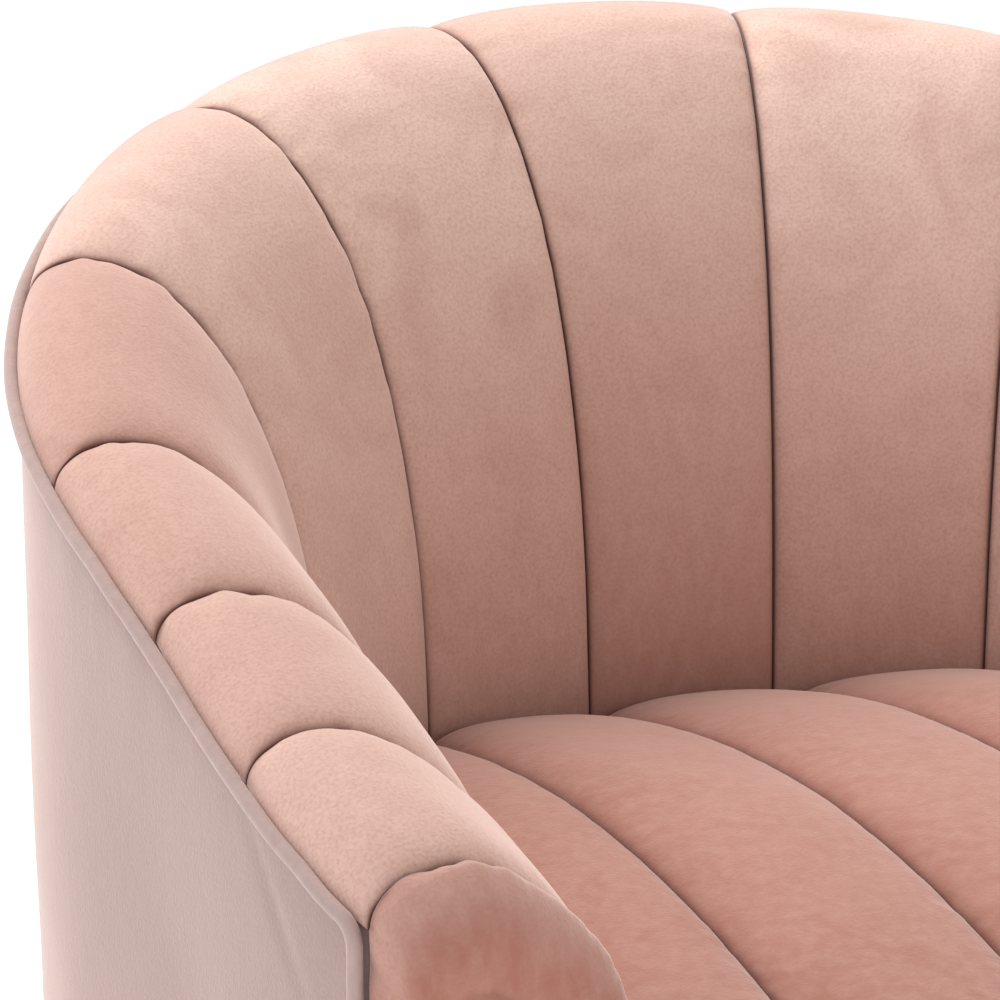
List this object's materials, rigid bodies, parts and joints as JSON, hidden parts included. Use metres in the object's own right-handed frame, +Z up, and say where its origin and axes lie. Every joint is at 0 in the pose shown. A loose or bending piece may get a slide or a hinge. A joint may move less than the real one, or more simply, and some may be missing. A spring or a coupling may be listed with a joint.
{
  "type": "swivel glider armchair",
  "caption": "Barrel-shaped nursery armchair with vertical channel-tufted velvet padding, sloping arms and a swivel glider base under the tub.",
  "frame": {"origin": "on the floor, under the middle of the chair's box", "axes": "+Z up, the sitter faces -Y, the sitter's right is -X"},
  "size_m": [0.7572, 0.6988, 0.766],
  "materials": {
    "velvet": "cut-pile velvet, dusty pink, soft nap",
    "velvet_piping": "velvet wrapped cord welt",
    "velvet_outside": "cut-pile velvet stretched flat over board",
    "beech": "sawn hardwood and plywood",
    "spring_steel": "drawn wire",
    "black_steel": "black powder coat",
    "zinc_steel": "zinc plated",
    "black_nylon": "moulded nylon",
    "black_cloth": "spunbond dust cloth"
  },
  "bodies": {
    "base": {"floor_glide_ring": "black_nylon", "base_ring": "black_steel", "base_cross_bars": "black_steel", "swivel_lower_race": "zinc_steel", "swivel_ball_cage": "black_nylon", "swivel_pivot_bolt": "zinc_steel"},
    "swivel": {"swivel_upper_race": "zinc_steel", "carriage_pan": "black_steel", "carriage_side_left": "black_steel", "carriage_side_right": "black_steel", "carriage_tie_bar_front": "black_steel", "carriage_tie_bar_rear": "black_steel", "upper_pivot_rod_front": "zinc_steel", "upper_pivot_rod_rear": "zinc_steel"},
    "link_front_left": {"glide_link_front_left": "zinc_steel"},
    "link_front_right": {"glide_link_front_right": "zinc_steel"},
    "link_rear_left": {"glide_link_rear_left": "zinc_steel"},
    "link_rear_right": {"glide_link_rear_right": "zinc_steel"},
    "seat": {"seat_bracket_left": "black_steel", "seat_bracket_right": "black_steel", "lower_pin_front_left": "zinc_steel", "lower_pin_front_right": "zinc_steel", "lower_pin_rear_left": "zinc_steel", "lower_pin_rear_right": "zinc_steel", "cross_beam_front": "beech", "cross_beam_rear": "beech", "seat_rail": "beech", "bottom_frame": "beech", "rim_rail": "beech", "post_left_1": "beech", "post_left_2": "beech", "post_left_3": "beech", "post_right_1": "beech", "post_right_2": "beech", "post_right_3": "beech", "seat_springs": "spring_steel", "dust_cover": "black_cloth", "back_channel_middle": "velvet", "back_channel_left_1": "velvet", "back_channel_left_2": "velvet", "back_channel_left_3": "velvet", "back_channel_left_4": "velvet", "back_channel_left_5": "velvet", "back_channel_left_6": "velvet", "back_channel_right_1": "velvet", "back_channel_right_2": "velvet", "back_channel_right_3": "velvet", "back_channel_right_4": "velvet", "back_channel_right_5": "velvet", "back_channel_right_6": "velvet", "arm_front_pad_left": "velvet", "arm_front_pad_right": "velvet", "seat_cushion": "velvet", "front_border": "velvet", "rim_piping": "velvet_piping", "arm_piping_left": "velvet_piping", "arm_piping_right": "velvet_piping", "outside_panel_left": "velvet_outside", "outside_panel_right": "velvet_outside", "outside_panel_rear": "velvet_outside"}
  },
  "joints": [
    {"name": "swivel_turn", "type": "hinge", "parent": "base", "child": "swivel", "pos_m": [0, 0, 0.04], "axis": [0, 0, 1], "continuous": true},
    {"name": "glide_front_left", "type": "hinge", "parent": "swivel", "child": "link_front_left", "pos_m": [0.1825, -0.095, 0.182], "axis": [1, 0, 0], "range_deg": [-20, 20]},
    {"name": "glide_front_right", "type": "hinge", "parent": "swivel", "child": "link_front_right", "pos_m": [-0.1825, -0.095, 0.182], "axis": [1, 0, 0], "range_deg": [-20, 20]},
    {"name": "glide_rear_left", "type": "hinge", "parent": "swivel", "child": "link_rear_left", "pos_m": [0.1825, 0.095, 0.182], "axis": [1, 0, 0], "range_deg": [-20, 20]},
    {"name": "glide_rear_right", "type": "hinge", "parent": "swivel", "child": "link_rear_right", "pos_m": [-0.1825, 0.095, 0.182], "axis": [1, 0, 0], "range_deg": [-20, 20]},
    {"name": "seat_level", "type": "hinge", "parent": "link_front_left", "child": "seat", "pos_m": [0.1825, -0.095, 0.072], "axis": [1, 0, 0], "range_deg": [-20, 20]}
  ],
  "couplings": [
    {"joint": "glide_front_right", "follows": "glide_front_left", "ratio": 1},
    {"joint": "glide_rear_left", "follows": "glide_front_left", "ratio": 1},
    {"joint": "glide_rear_right", "follows": "glide_front_left", "ratio": 1},
    {"joint": "seat_level", "follows": "glide_front_left", "ratio": -1}
  ]
}
